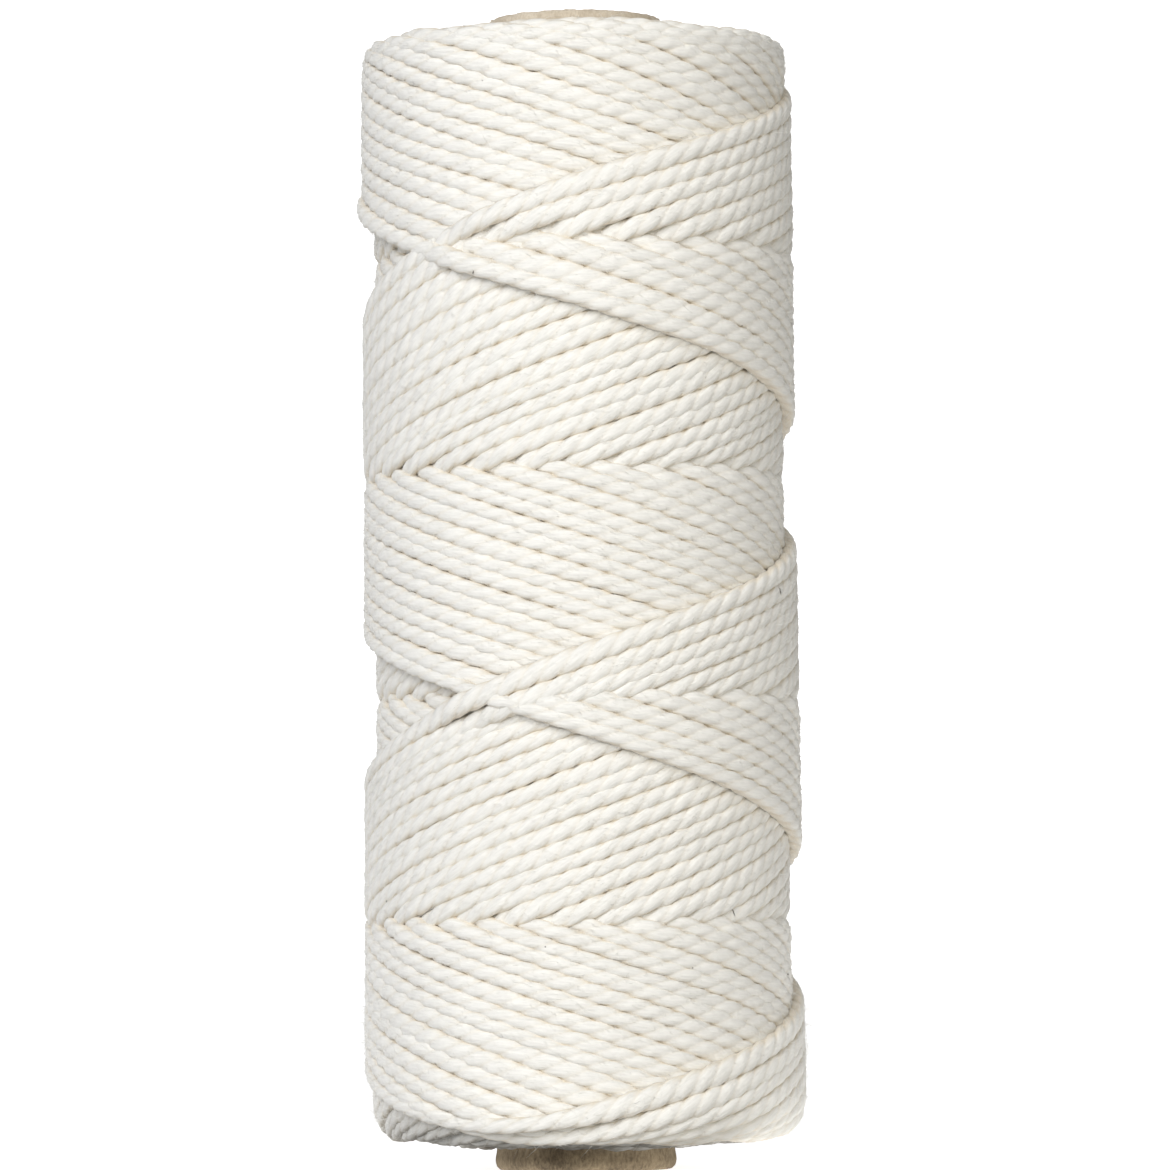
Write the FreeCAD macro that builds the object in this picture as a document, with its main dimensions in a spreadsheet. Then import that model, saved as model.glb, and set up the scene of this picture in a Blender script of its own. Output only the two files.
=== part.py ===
# Roll of three-ply cotton twine, cross-wound on a spirally wound paper tube.
# Millimetres, +Z up. The origin is the middle of the tube's lower end, on which the roll stands.
# The front of the roll is towards -Y, with +X to its right.
import FreeCAD, Part
import math
import os
import Sketcher

# Driving dimensions, each with its name, its value and what it is
SIZES = [
    ("tube_bore", 21.0, "inside diameter of the paper tube"),
    ("tube_length", 155.0, "paper tube, end to end"),
    ("ply_wall", 0.5, "thickness of one ply of paper"),
    ("seam_gap", 0.4, "opening between the edges of a wound strip of paper"),
    ("seam_rise", 70.0, "height that a seam climbs in one turn"),
    ("tube_clearance", 0.1, "between the tube and the first turns of twine"),
    ("winding_diameter", 58.5, "over the newest turns"),
    ("winding_length", 150.0, "end face to end face, centred on the tube"),
    ("shoulder_radius", 4.0, "rounding of the inner turns at each end"),
    ("twine_width", 2.0, "one turn of the pressed twine"),
    ("twine_gap", 0.5, "between neighbouring turns, and between crossing turns"),
    ("turn_clearance", 0.3, "between the inner turns and the outer turns"),
    ("outer_loops", 24, "turns in the outer layer"),
    ("traverse_turns", 2.5, "turns from one end of the roll to the other"),
    ("turnaround_angle", 60.0, "degrees on each side of a reversal over which the slope changes"),
    ("tuck_angle", 60.0, "degrees past the back at which both ends dive under"),
    ("tuck_depth", 2.0, "how far both ends go into the inner turns"),
    ("tuck_slack", 0.35, "by which the bend of a tucked end is wider than the twine"),
    ("tuck_clearance", 0.3, "round a tucked end in its hole"),
]

BACK_AZIMUTH = 90.0
# Where a sketch is first drawn, before the sheet's values move it
DRAWN_FROM = 10.0
PLIES = ["tube_inner_ply", "tube_middle_ply", "tube_outer_ply"]
SEAMED_PLIES = ["tube_inner_ply", "tube_outer_ply"]
# The turns may not come closer to each other than this, measured at points this far apart
LEAST_GAP = 0.4
MEASURED_EVERY = 0.5
AZIMUTH_SLOTS = 200
# The change of layer takes this part of a turn on each side of a reversal
LAYER_CHANGE_TURNS = 0.25
# Each pair of arcs spans this part of a turn
ARC_PAIR_TURNS = 0.25

document = FreeCAD.newDocument("twine_roll")
sheet = document.addObject("Spreadsheet::Sheet", "sizes")
for row, (alias, value, note) in enumerate(SIZES, start=1):
    sheet.set(f"A{row}", alias)
    sheet.set(f"B{row}", str(value))
    sheet.set(f"C{row}", note)
    sheet.setAlias(f"B{row}", alias)
document.recompute()


def size(alias):
    """The value of one driving dimension."""
    return float(sheet.get(alias))


# Sizes of the winding that several pieces share, as expressions on the sheet
INNER_TURNS_RADIUS = (
    "sizes.winding_diameter / 2 - 2 * sizes.twine_width - sizes.twine_gap - sizes.turn_clearance"
)
TUBE_RADIUS = "sizes.tube_bore / 2 + 3 * sizes.ply_wall"
WINDING_START = "(sizes.tube_length - sizes.winding_length) / 2"


def origin_plane(body, role):
    """One of a body's own origin planes."""
    return next(item for item in body.Origin.OriginFeatures if item.Role == role)


def ring_body(name, inner_radius, outer_radius, length, base):
    """A hollow cylinder along Z, from two circles and a pad, with all its sizes bound to the sheet."""
    body = document.addObject("PartDesign::Body", name)
    body.Label = name
    sketch = body.newObject("Sketcher::SketchObject", name + "_section")
    sketch.AttachmentSupport = [(origin_plane(body, "XY_Plane"), "")]
    sketch.MapMode = "FlatFace"
    sketch.setExpression(".AttachmentOffset.Base.z", base)
    centre = FreeCAD.Vector(0, 0, 0)
    for circle, (label, radius) in enumerate([("inner", inner_radius), ("outer", outer_radius)]):
        drawn = DRAWN_FROM + circle
        sketch.addGeometry(Part.Circle(centre, FreeCAD.Vector(0, 0, 1), drawn), False)
        sketch.addConstraint(Sketcher.Constraint("Coincident", circle, 3, -1, 1))
        index = sketch.addConstraint(Sketcher.Constraint("Radius", circle, drawn))
        sketch.renameConstraint(index, label)
        sketch.setExpression("Constraints." + label, radius)
    pad = body.newObject("PartDesign::Pad", name + "_length")
    pad.Profile = sketch
    pad.setExpression("Length", length)
    document.recompute()
    return body


def add_seam(body, inner_radius, start):
    """Cuts the narrow helical opening where the edges of the ply's paper strip meet."""
    sketch = body.newObject("Sketcher::SketchObject", body.Name + "_seam_section")
    sketch.AttachmentSupport = [(origin_plane(body, "XZ_Plane"), "")]
    sketch.MapMode = "FlatFace"
    sketch.setExpression(".AttachmentOffset.Base.y", start)
    drawn_to = DRAWN_FROM + 1
    corners = [(DRAWN_FROM, 0), (drawn_to, 0), (drawn_to, 1), (DRAWN_FROM, 1)]
    points = [FreeCAD.Vector(across, up, 0) for across, up in corners]
    for side in range(4):
        sketch.addGeometry(Part.LineSegment(points[side], points[(side + 1) % 4]), False)
    for side in range(4):
        sketch.addConstraint(Sketcher.Constraint("Coincident", side, 2, (side + 1) % 4, 1))
    for side, level in enumerate(["Horizontal", "Vertical", "Horizontal", "Vertical"]):
        sketch.addConstraint(Sketcher.Constraint(level, side))
    sketch.addConstraint(Sketcher.Constraint("PointOnObject", 0, 1, -1))
    for label, kind, held_points, value in [
        ("inside", "DistanceX", (-1, 1, 0, 1), f"{inner_radius} - sizes.ply_wall / 2"),
        ("depth", "DistanceX", (0, 1, 0, 2), "2 * sizes.ply_wall"),
        ("width", "DistanceY", (1, 1, 1, 2), "sizes.seam_gap"),
    ]:
        index = sketch.addConstraint(Sketcher.Constraint(kind, *held_points, 1.0))
        sketch.renameConstraint(index, label)
        sketch.setExpression("Constraints." + label, value)
    document.recompute()
    seam = body.newObject("PartDesign::SubtractiveHelix", body.Name + "_seam")
    seam.Profile = sketch
    seam.ReferenceAxis = (sketch, ["V_Axis"])
    seam.Mode = "pitch-height-angle"
    seam.setExpression("Pitch", "sizes.seam_rise")
    seam.setExpression("Height", "sizes.tube_length + 2 * sizes.seam_rise")
    document.recompute()


def make_plies():
    """Three plies of paper, one round the other; the inner and outer ones show their seam."""
    plies = []
    for index, name in enumerate(PLIES):
        inner_radius = f"sizes.tube_bore / 2 + {index} * sizes.ply_wall"
        outer_radius = f"sizes.tube_bore / 2 + {index + 1} * sizes.ply_wall"
        ply = ring_body(name, inner_radius, outer_radius, "sizes.tube_length", "0 mm")
        if name in SEAMED_PLIES:
            start = f"-sizes.seam_rise * {1 + index / (2 * len(PLIES))}"
            add_seam(ply, inner_radius, start)
        plies.append(ply)
    return plies


class Winding:
    """Where the twine of the outer layer runs, worked out from the sheet.

    A place on the winding is given by its turn, counted from the first reversal at the top, by its
    run, the distance from mid-height along the outline of the inner turns, and by its height above
    them. The twine always travels to the right. It goes down on the lower layer and comes back up
    on the upper one, and every pass of both kinds lies one step below the pass before it.
    """

    def __init__(self):
        pitch = size("twine_width") + size("twine_gap")
        self.wire = size("twine_width")
        self.traverse = size("traverse_turns")
        self.shoulder = size("shoulder_radius")
        self.middle = size("tube_length") / 2
        self.low = size("turn_clearance") + self.wire / 2
        self.high = self.low + pitch
        self.core = size("winding_diameter") / 2 - self.wire / 2 - self.high
        self.flat_half = size("winding_length") / 2 - self.shoulder
        self.turnaround = size("turnaround_angle") / 360
        self.start = size("tuck_angle") / 360 - 1
        self.end = self.start + size("outer_loops")
        # At a reversal the twine is half-way between the layers and level with the end face
        middle_height = (self.low + self.high) / 2
        lean = (self.shoulder - self.wire / 2) / (self.shoulder + middle_height)
        self.top_run = self.flat_half + (self.shoulder + self.low) * math.asin(lean)
        last = math.floor(self.end / self.traverse)
        last_bottom = self.traverse * (last if last % 2 else last - 1)
        self.lead = size("winding_length") / self.traverse
        for _ in range(8):
            climb = self.lead / (2 * math.pi * (self.core + self.low))
            self.step = pitch * math.hypot(1, climb) / (2 * self.traverse)
            room = 2 * self.top_run - last_bottom * self.step
            self.lead = room / (self.traverse - self.turnaround)

    def outline(self, run, height):
        """Radius and height above the floor of a place on the winding."""
        past = abs(run) - self.flat_half
        if past <= 0:
            return self.core + height, self.middle + run
        lean = past / (self.shoulder + self.low)
        radius = self.core - self.shoulder + (self.shoulder + height) * math.cos(lean)
        rise = self.flat_half + (self.shoulder + height) * math.sin(lean)
        return radius, self.middle + math.copysign(rise, run)

    def point(self, turn):
        """The middle of the twine at a turn."""
        reversal = round(turn / self.traverse)
        past = turn - self.traverse * reversal
        at_bottom = reversal % 2
        drop = self.lead * abs(past)
        if abs(past) < self.turnaround:
            drop = self.lead * (past**2 + self.turnaround**2) / (2 * self.turnaround)
        peak = self.top_run + self.lead * self.turnaround / 2
        run = peak - drop - self.step * turn
        if at_bottom:
            run = peak - self.traverse * self.lead + drop - self.step * turn
        rising = past if at_bottom else -past
        climbed = max(-1.0, min(1.0, rising / LAYER_CHANGE_TURNS))
        share = (1 + math.sin(math.pi / 2 * climbed)) / 2
        radius, level = self.outline(run, self.low + (self.high - self.low) * share)
        angle = math.radians(BACK_AZIMUTH) + 2 * math.pi * turn
        return FreeCAD.Vector(radius * math.cos(angle), radius * math.sin(angle), level)

    def tangent(self, turn):
        """The direction in which the twine travels at a turn."""
        nearby = 1e-5
        return (self.point(turn + nearby) - self.point(turn - nearby)).normalize()

    def outward(self, turn):
        """The level direction away from the axis at a turn."""
        angle = math.radians(BACK_AZIMUTH) + 2 * math.pi * turn
        return FreeCAD.Vector(math.cos(angle), math.sin(angle), 0)

    def tuck(self, turn, forward):
        """The bend of a tucked end: where it leaves the turns, its middle, its foot and its end."""
        bend = self.wire + size("tuck_slack")
        outward = self.outward(turn)
        along = self.tangent(turn) * (1 if forward else -1)
        place = self.point(turn)
        centre = place - outward * bend
        middle = centre + (outward + along).normalize() * bend
        foot = centre + along * bend
        straight = self.high + size("tuck_depth") - bend
        return place, middle, foot, foot - outward * straight


def arc_between(start, corner, end):
    """The arc that leaves start towards corner and reaches end, and its radius."""
    chord = end - start
    half_angle = math.atan2((corner - (start + end) * 0.5).Length, chord.Length / 2)
    sagitta = chord.Length / 2 * math.tan(half_angle / 2)
    towards = (corner - (start + end) * 0.5).normalize()
    middle = (start + end) * 0.5 + towards * sagitta
    return Part.Arc(start, middle, end).toShape(), chord.Length / 2 / math.sin(half_angle)


def biarc(start, leaving, end, arriving):
    """Two arcs that join two points and keep both directions, with their radii."""
    chord = end - start
    both = leaving + arriving
    square = 2 * (1 - leaving.dot(arriving))
    linear = 2 * chord.dot(both)
    constant = -chord.dot(chord)
    reach = -constant / linear
    if square > 1e-9:
        reach = (-linear + math.sqrt(linear**2 - 4 * square * constant)) / (2 * square)
    first_corner = start + leaving * reach
    second_corner = end - arriving * reach
    joint = (first_corner + second_corner) * 0.5
    return [arc_between(start, first_corner, joint), arc_between(joint, second_corner, end)]


def twine_route(winding):
    """The line of the outer turns: a quarter turn to each pair of arcs, and both tucked ends."""
    first = math.floor(winding.start / ARC_PAIR_TURNS) + 1
    last = math.ceil(winding.end / ARC_PAIR_TURNS) - 1
    turns = [winding.start] + [ARC_PAIR_TURNS * index for index in range(first, last + 1)] + [winding.end]
    edges = []
    radii = [winding.wire + size("tuck_slack")]
    place, middle, foot, tip = winding.tuck(winding.start, False)
    edges.append(Part.LineSegment(tip, foot).toShape())
    edges.append(Part.Arc(foot, middle, place).toShape())
    for before, after in zip(turns, turns[1:]):
        pair = biarc(
            winding.point(before), winding.tangent(before), winding.point(after), winding.tangent(after)
        )
        for edge, radius in pair:
            edges.append(edge)
            radii.append(radius)
    place, middle, foot, tip = winding.tuck(winding.end, True)
    edges.append(Part.Arc(place, middle, foot).toShape())
    edges.append(Part.LineSegment(foot, tip).toShape())
    print(f"outer turns: {len(edges)} edges, least radius {min(radii):.2f} mm")
    return Part.Wire(edges)


def least_gap(wire, width):
    """The least space between two stretches of the twine, measured on points along its line."""
    apart = int(4 * width / MEASURED_EVERY)
    by_slot = [[] for _ in range(AZIMUTH_SLOTS)]
    for index, point in enumerate(wire.discretize(Distance=MEASURED_EVERY)):
        part_turn = math.atan2(point.y, point.x) / (2 * math.pi) % 1
        by_slot[int(part_turn * AZIMUTH_SLOTS) % AZIMUTH_SLOTS].append((index, point))
    least = float("inf")
    for slot, here in enumerate(by_slot):
        nearby = [item for step in range(3) for item in by_slot[(slot + step) % AZIMUTH_SLOTS]]
        for index, point in here:
            for other_index, other in nearby:
                if abs(other_index - index) > apart and abs(other.z - point.z) < 2 * width:
                    least = min(least, point.distanceToPoint(other))
    return least - width


def make_outer_turns(winding):
    """The newest turns of twine, as one unbroken tube."""
    line = document.addObject("Part::Feature", "outer_turns_line")
    line.Shape = twine_route(winding)
    tip = line.Shape.Edges[0].firstVertex().Point
    towards = line.Shape.Edges[0].lastVertex().Point - tip
    section = document.addObject("Part::Circle", "outer_turns_section")
    section.setExpression("Radius", "sizes.twine_width / 2")
    section.Placement = FreeCAD.Placement(tip, FreeCAD.Rotation(FreeCAD.Vector(0, 0, 1), towards))
    turns = document.addObject("Part::Sweep", "outer_turns")
    turns.Sections = [section]
    turns.Spine = (line, [])
    turns.Solid = True
    turns.Frenet = False
    turns.Label = "outer_turns"
    document.recompute()
    gap = least_gap(line.Shape, winding.wire)
    expected = math.pi * winding.wire**2 / 4 * line.Shape.Length
    print(f"outer turns: least gap to itself {gap:.3f} mm, lead {winding.lead:.2f} mm")
    print(f"outer turns: volume {turns.Shape.Volume:.1f} of {expected:.1f} mm3")
    if gap < LEAST_GAP:
        raise RuntimeError("the outer turns come too close to each other")
    return turns


def make_inner_turns(winding):
    """All the older turns as one plain body round the tube, with a hole where each end dives in."""
    inner_radius = f"{TUBE_RADIUS} + sizes.tube_clearance"
    body = ring_body(
        "inner_turns", inner_radius, INNER_TURNS_RADIUS, "sizes.winding_length", WINDING_START
    )
    pad = body.Tip
    rims = [
        f"Edge{number}"
        for number, edge in enumerate(pad.Shape.Edges, start=1)
        if edge.Closed and abs(edge.Curve.Radius - winding.core) < 1e-6
    ]
    shoulders = body.newObject("PartDesign::Fillet", "inner_turns_shoulders")
    shoulders.Base = (pad, rims)
    shoulders.setExpression("Radius", "sizes.shoulder_radius")
    for name, turn, forward in [
        ("first_end_hole", winding.start, False),
        ("last_end_hole", winding.end, True),
    ]:
        tip = winding.tuck(turn, forward)[3]
        hole = body.newObject("PartDesign::SubtractiveCylinder", name)
        hole.setExpression("Radius", "sizes.twine_width / 2 + sizes.tuck_clearance")
        hole.setExpression("Height", "2 * sizes.tuck_depth + sizes.twine_width")
        turning = FreeCAD.Rotation(FreeCAD.Vector(0, 0, 1), winding.outward(turn))
        hole.Placement = FreeCAD.Placement(tip, turning)
    document.recompute()
    return body


def check(parts):
    """Stops unless every object was worked out and every sub-part is one sound solid."""
    for item in document.Objects:
        if "Invalid" in item.State or "Error" in item.State:
            raise RuntimeError(f"{item.Name} is {item.State}")
    for part in parts:
        shape = part.Shape
        if shape.isNull() or not shape.isValid() or len(shape.Solids) != 1:
            raise RuntimeError(f"{part.Label} is not one sound solid")
        box = shape.optimalBoundingBox(False, False)
        print(
            f"{part.Label}: volume {shape.Volume:.1f} mm3,"
            f" X {box.XMin:.2f} to {box.XMax:.2f}, Z {box.ZMin:.2f} to {box.ZMax:.2f}"
        )


winding = Winding()
parts = make_plies()
parts.append(make_inner_turns(winding))
parts.append(make_outer_turns(winding))
document.recompute()
check(parts)
os.makedirs("parts", exist_ok=True)
for part in parts:
    part.Shape.exportStep(os.path.join("parts", part.Label + ".step"))
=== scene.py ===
# A cross-wound roll of three-ply cotton twine on a spirally wound paper tube.
# The scene is in metres, +Z up, with the front towards -Y. The winding itself is worked out in
# millimetres, and in degrees round the roll, from the front towards the right.
import math

import bpy
import numpy as np
from mathutils import Matrix, Vector


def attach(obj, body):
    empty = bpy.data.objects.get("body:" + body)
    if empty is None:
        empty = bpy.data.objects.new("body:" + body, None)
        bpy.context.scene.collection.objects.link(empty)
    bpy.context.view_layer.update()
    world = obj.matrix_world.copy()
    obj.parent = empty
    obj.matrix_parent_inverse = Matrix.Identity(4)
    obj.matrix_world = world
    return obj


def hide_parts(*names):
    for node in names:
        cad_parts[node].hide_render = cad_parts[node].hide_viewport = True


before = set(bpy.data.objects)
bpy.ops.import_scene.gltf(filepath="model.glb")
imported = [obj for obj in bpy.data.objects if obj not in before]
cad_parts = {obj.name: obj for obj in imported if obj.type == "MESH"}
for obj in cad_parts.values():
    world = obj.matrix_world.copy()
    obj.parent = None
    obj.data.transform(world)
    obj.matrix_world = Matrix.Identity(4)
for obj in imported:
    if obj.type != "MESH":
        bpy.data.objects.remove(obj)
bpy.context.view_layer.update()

MM = 0.001
TINY = 1e-9

# The twine goes down and up again in a little less than five turns round the roll. The newest
# cycle falls short of them by the first angle, and each older one by the second angle less than
# the next, as far back as the given number of cycles.
FIVE_TURNS = 5 * 360
NEWEST_STEP = 14.5
STEP_LOSS = 0.11
LOSING_CYCLES = 30
CYCLE = FIVE_TURNS - NEWEST_STEP
# Where the twine ends, at the back, counted in the newest cycle, and how it is tucked in
LAST_ANGLE = 1608.0
TUCK_ANGLE = 15.0
TUCK_DEPTH = 4.0
# Cycles that are drawn whole, and cycles in all, down to the tube
SURFACE_CYCLES = 32
ALL_CYCLES = 150

# Angle turned in one cycle, and height above the floor, where the twine turns back
TOP_REVERSAL = (140.0, 152.5)
BOTTOM_REVERSAL = (1052.0, 4.1)
# How far the newest turns lie above the even slopes between these, by the angle turned
NEWEST_OFFSETS = [
    (140, 0.0),
    (273, -0.4),
    (300, -1.0),
    (325, -2.0),
    (358, -1.1),
    (447, 0.0),
    (698, 0.5),
    (766, 0.0),
    (807, 0.5),
    (860, 0.8),
    (1052, 0.0),
    (1105, -1.8),
    (1170, -2.4),
    (1383, -3.3),
    (1466, -1.9),
    (1527, -2.0),
    (1754, 1.5),
    (1873, 0.0),
]
# Over this many cycles the older turns come back to the even slopes
OFFSET_FADE = 3.0
# A reversal is rounded over this many degrees on each side
ROUNDING = 25.0
# Newer turns push the older reversals towards the end faces, the more so the deeper they lie
BOTTOM_PUSH = 1.8
TOP_PUSH = 1.3
DEEPER_PUSH = 1.4
DEEPER_FROM = 0.3
DEEPER_AT_TOP = 0.75
PUSH_WIDTH = 55.0
# Hidden turns are drawn within this many degrees of their reversals, for the end faces
REVERSAL_WIDTH = 62.0

# Radial growth of the roll by one strand, and the radius over the newest strands
LAYER = 1.7
SURFACE = 30.3
# The roll is this much thicker at the floor, and ever less so up to this height
LOWER_SWELL = (0.4, 90.0)
# Crossing strands climb over each other. The step is rounded over this many degrees on each side,
# and lies this many degrees before the crossing.
CLIMB = 5.0
CLIMB_LEAD = 5.4
# The roll gets thinner near its ends: where it stops, over what height, and by how much
UPPER_SHOULDER = (152.3, 5.0, 2.2)
LOWER_SHOULDER = (4.8, 5.0, 5.0)
# Reversals pile up, so that the older turns there lie further out than in even layers
UPPER_PILE = 1.3
LOWER_PILE = 1.0
PILE_WIDTH = 60.0
PILE_AGES = (8.0, 20.0)
# One newest turn stands off the roll at its left outline: angle, how far, and over what angle
LOOSE_TURN = (275.0, 0.7, 16.0)
# Older turns at the lower end get painted shade: from what age and over how many cycles this
# sets in, and below what height and over how many millimetres
LOWER_SHADE_AGES = (8.0, 8.0)
LOWER_SHADE_HEIGHTS = (11.0, 5.0)
# Slow unevenness along the twine: how much, and after how many degrees it changes
HEIGHT_WAVER = (0.36, 47.0)
RADIUS_WAVER = (0.08, 31.0)
WIDTH_WAVER = (0.07, 19.0)
TWIST_WAVER = (0.6, 60.0)
# The plain body inside, which the outer layers hide
CORE_RADIUS = 25.6
CORE_BORE = 12.2
CORE_ENDS = (5.5, 148.5)
CORE_SIDES = 96

# Half the width of the twine: its limits, the factor by which it overlaps its neighbours, and the
# shares of the further and the nearer one in the space that they leave. Then half its thickness.
HALF_WIDTHS = (1.12, 1.62)
OVERLAP = 1.14
SPACE_SHARES = (0.85, 0.15)
HALF_THICK = 1.05
# The plies: how far their middles lie off the twine's, by their own radius, and the shares of
# each ply's arc at which the outline has its points
PLIES = 3
PLY_OFFSET = 0.33
PLY_POINTS = (0.0, 0.1, 0.3, 0.5, 0.7, 0.9)
# One turn of the plies takes up this length, and the fibres undo this share of it
LAY_LENGTH = 9.4
FIBRE_TURN = 0.7
# How square the pressed twine is, where 2 is round, and how uneven its outline is
SQUARENESS = 3.0
UNEVEN = 0.025
# Its sides get painted shade below this height over its middle, fully so this much further down,
# both as shares of half its thickness
SHADE_BELOW = 0.82
SHADE_DEPTH = 0.4

# Degrees between points of the path, and points of the path between rings of vertices
GRID = 0.5
RING_EVERY = 3
END_RING_EVERY = 6
# The most rings in a piece, and the fewest in a stretch of hidden twine that is drawn
RINGS_PER_PIECE = 5400
FEWEST_RINGS = 9
# Rows of twine on the bake map, and the margin below and above each
BAKE_ROWS = 24
BAKE_MARGIN = 0.04
BAKE_HEIGHT = 0.92

# The reach of the twine is kept for each degree and each half millimetre, from every second point
# of its path. Half a millimetre beside its crown the twine reaches this much less, and where it
# comes this near to the reach it is in the open.
LEVELS_PER_MM = 2
LEVELS = 320
REACH_EVERY = 2
CROWN_DROP = 0.09
OPEN_WITHIN = 0.35

# Loose fibres: their number and the places tried for each, their steps and sides, their length
# and radius, and how they taper
HAIRS_PER_PIECE = 11000
HAIR_PIECES = 8
TRIES_PER_HAIR = 4
HAIR_STEPS = 3
HAIR_SIDES = 3
HAIR_LENGTH = 1.2
HAIR_RADIUS = 0.022
HAIR_TAPER = 0.6
# They grow up to this many radians away from the crown, from this share of the twine's thickness
HAIR_LEAN = 1.25
HAIR_ROOT = 0.93
# How much they rise at first, and how far they stray, curl and fall back to the twine
HAIR_RISE = (0.3, 1.0)
HAIR_STRAY = 0.35
HAIR_CURL = 0.55
HAIR_FALL = 0.35
# Shape and scale of the gamma law of their lengths, and the greatest of them
HAIR_LENGTHS = (2.2, 0.45)
HAIR_LONGEST = 1.8

# Specks of seed coat in view: angle from the front towards the right, and height
SPECKS = [
    (52.0, 46.6),
    (51.0, 45.6),
    (48.0, 112.0),
    (48.5, 113.2),
    (-28.0, 109.8),
    (-31.5, 109.0),
    (-27.0, 118.6),
    (-11.0, 103.1),
    (41.0, 144.3),
    (30.0, 27.1),
    (-25.4, 144.1),
    (-10.0, 30.1),
]
# Specks out of view: how many, and between which angles and heights
MORE_SPECKS = 14
SPECK_ANGLES = (60, 300)
SPECK_HEIGHTS = (8, 146)
# Half the length, width and thickness of a speck, its rough corners, and how deep it is sunk
SPECK_LONG = (0.12, 0.30)
SPECK_WIDE = (0.10, 0.16)
SPECK_THICK = 0.10
SPECK_ROUGH = (0.7, 1.2)
SPECK_SUNK = 0.12

# The paper tube, with the space between its outer ply and the next, and the ply's sides
TUBE_RADIUS = 12.0
TUBE_LENGTH = 155.0
PLY_WALL = 0.5
PLY_SPACE = 0.02
PLY_SIDES = 120
# Levels of vertices of the outer ply: many over each end, and some in between
END_LEVELS = 11
LOWER_END = 4.0
UPPER_END = 151.0
LEVELS_BETWEEN = (6, 150, 3.0)
# Its open seam: width, rise in one turn, and how far under the floor it would be at the right
SEAM_GAP = 0.4
SEAM_RISE = 70.0
SEAM_START = 93.3
# Its worn ends: how much they are rounded, over what height, and how the lower one is flared
WORN_ROUNDING = (0.38, 0.7)
WORN_FLARE = (0.22, 1.3, 0.9)
# How ragged they are, over what height, and by how much the upper one is frayed above what height
RAGGED = 0.05
RAGGED_HEIGHT = 0.5
FRAYED = 0.62
FRAYED_ABOVE = 150.0

# Seeds of the random draws
HEIGHT_SEED = 1
RADIUS_SEED = 2
WIDTH_SEED = 3
SPECK_SEED = 11
PAPER_SEED = 21
HAIR_SEED = 40
SURFACE_SEED = 100
UPPER_SEED = 500
LOWER_SEED = 900

WHITE = (1, 1, 1, 1)


def moving_average(values, half_width, wraps):
    """Each value's mean over its neighbours up to half_width samples away."""
    width = 2 * half_width + 1
    mode = "wrap" if wraps else "edge"
    padded = np.pad(values, half_width, mode=mode)
    sums = np.cumsum(np.insert(padded, 0, 0.0))
    return (sums[width:] - sums[:-width]) / width


def smoothed(values, reach, wraps=False):
    """The values along the twine, rounded over so many degrees on each side."""
    for _ in range(2):
        values = moving_average(values, int(reach / GRID), wraps)
    return values


def bell(distance, width):
    """One where there is no distance, fading away over the width."""
    return np.exp(-((distance / width) ** 2))


def slow_noise(angles, every, seed):
    """Smooth random values between -1 and 1 along the twine, a new one at each step."""
    place = (angles - angles[0]) / every
    knots = np.random.default_rng(seed).uniform(-1, 1, int(place[-1]) + 3)
    index = place.astype(int)
    share = place - index
    share = share * share * (3 - 2 * share)
    return knots[index] * (1 - share) + knots[index + 1] * share


def waver(angles, amount_and_step, seed):
    """Slow unevenness along the twine."""
    amount, every = amount_and_step
    return amount * slow_noise(angles, every, seed)


def unit(vectors):
    """The same directions with length 1."""
    return vectors / np.linalg.norm(vectors, axis=1)[:, None]


def on_roll(radius, angle, height):
    """Places from a radius, an angle in radians and a height."""
    return np.stack([radius * np.sin(angle), -radius * np.cos(angle), height], axis=-1)


def turned_since(age):
    """Angle turned in so many cycles before the start of the newest one."""
    losing = np.minimum(age, LOSING_CYCLES)
    return CYCLE * age + STEP_LOSS * losing * (age - losing / 2)


def covered_since(age):
    """Angle round the roll over which the strands of one direction have been laid since then."""
    return FIVE_TURNS * age - turned_since(age)


def traverse_table():
    """Angle and height over one cycle, from the reversal at the top to the next one."""
    top_angle, top_height = TOP_REVERSAL
    bottom_angle, bottom_height = BOTTOM_REVERSAL
    samples = int(CYCLE / GRID)
    angles = top_angle + np.arange(samples) * CYCLE / samples
    heights = np.interp(
        angles, [top_angle, bottom_angle, top_angle + CYCLE], [top_height, bottom_height, top_height]
    )
    heights = smoothed(heights, ROUNDING, wraps=True)
    top = int(np.argmax(heights))
    later = np.where(np.arange(samples) < samples - top, 0.0, CYCLE)
    return np.roll(angles, -top) + later, np.roll(heights, -top)


def layered_radius(angles, heights, age, phase, height):
    """The radius in even layers, where each strand climbs over the one that it crosses."""
    start = angles[0]
    bottom = int(np.argmin(heights))
    turned = start - turned_since(age)

    # The strand that this one crosses was laid at the same height in the other direction
    down_angles = np.interp(-height, -heights[: bottom + 1], angles[: bottom + 1])
    up_angles = np.interp(height, heights[bottom:], angles[bottom:])
    falling = phase < angles[bottom]
    crossed_phase = np.where(falling, up_angles - CYCLE, down_angles)
    crossed_age = np.ceil(age) - (crossed_phase - start) / CYCLE
    since = turned - start + turned_since(crossed_age)
    crossed = (since + CLIMB_LEAD) % 360.0 - CLIMB_LEAD
    radius = SURFACE - LAYER * (2 * covered_since(age) + crossed) / 360 - LAYER / 2
    return smoothed(radius, CLIMB)


def newest_offset(phase, behind):
    """How far each turn lies above the even slopes, the newest ones most."""
    angles, offsets = zip(*NEWEST_OFFSETS)
    offset = smoothed(np.interp(phase, angles, offsets), ROUNDING)
    return offset * np.exp(-np.maximum(behind - 1, 0) / OFFSET_FADE)


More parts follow.
